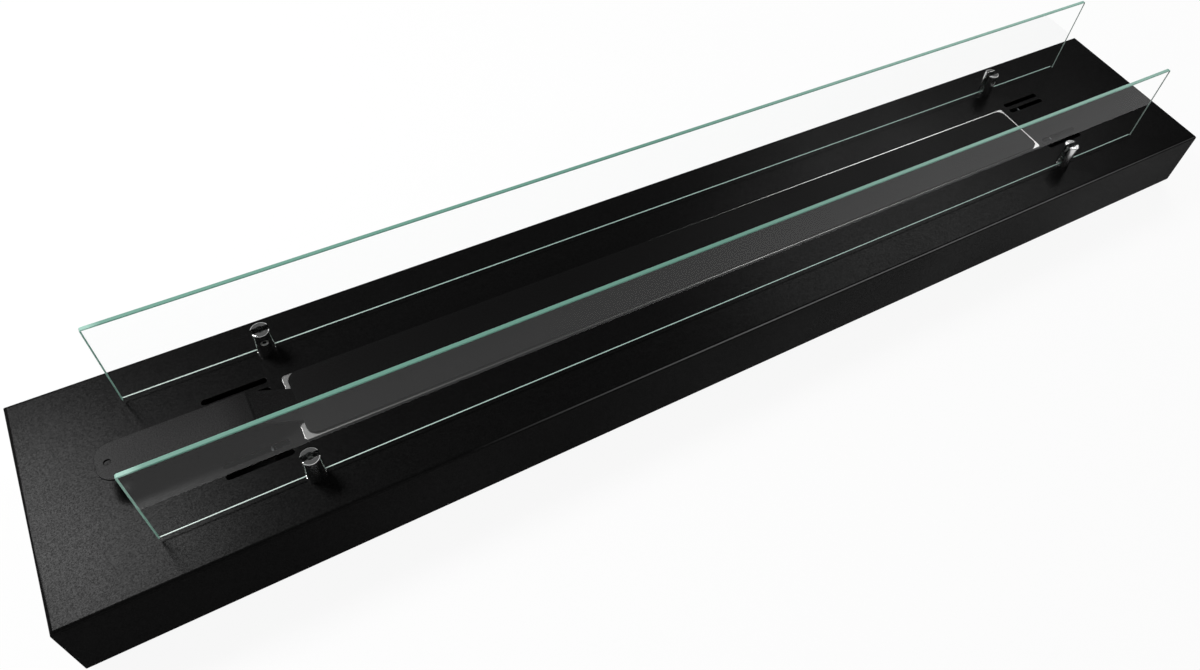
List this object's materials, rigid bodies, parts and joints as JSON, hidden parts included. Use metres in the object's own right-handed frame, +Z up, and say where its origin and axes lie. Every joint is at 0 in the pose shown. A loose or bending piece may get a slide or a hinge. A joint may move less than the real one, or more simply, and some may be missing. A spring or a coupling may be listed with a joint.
{
  "type": "bioethanol fireplace",
  "caption": "Long low bioethanol fireplace: folded black steel casing, drop-in slotted burner with a sliding lid, and glass wind screens held by slotted chrome posts.",
  "frame": {"origin": "on the surface that the feet stand on, under the middle of the casing", "axes": "+X along the casing, away from the lid's tongue; +Y from the front screen to the back screen; +Z up"},
  "size_m": [1.2, 0.2, 0.1755],
  "materials": {
    "black_powder_coat": "matte",
    "lid_powder_coat": "matte",
    "dark_panel": "matte",
    "stainless_steel": "satin",
    "galvanised_sheet": "satin",
    "zinc_steel": "satin",
    "dark_steel": "satin",
    "polished_chrome": "polished",
    "black_rubber": "matte",
    "white_fleece": "matte",
    "insulation": "matte",
    "clear_liner": "gloss",
    "clear_glass": "polished"
  },
  "bodies": {
    "frame": {"casing": "black_powder_coat", "base_panel": "dark_panel", "base_screws": "zinc_steel", "clinch_nuts": "zinc_steel", "feet": "black_rubber", "rib_left": "galvanised_sheet", "rib_right": "galvanised_sheet", "burner_housing": "galvanised_sheet", "insulation_board": "insulation", "glass_post_front_left": "polished_chrome", "glass_post_front_right": "polished_chrome", "glass_post_back_left": "polished_chrome", "glass_post_back_right": "polished_chrome", "post_screws": "zinc_steel", "post_washers": "zinc_steel", "clamp_screws": "dark_steel", "glass_liners": "clear_liner", "front_glass": "clear_glass", "back_glass": "clear_glass"},
    "burner": {"burner_tray": "stainless_steel", "fuel_fleece": "white_fleece", "burner_cover": "stainless_steel"},
    "lid": {"burner_lid": "lid_powder_coat"}
  },
  "joints": [
    {"name": "burner_lift", "type": "slide", "parent": "frame", "child": "burner", "axis": [0, 0, 1], "range_m": [0, 0.15]},
    {"name": "lid_slide", "type": "slide", "parent": "burner", "child": "lid", "axis": [-1, 0, 0], "range_m": [0, 0.36]}
  ]
}
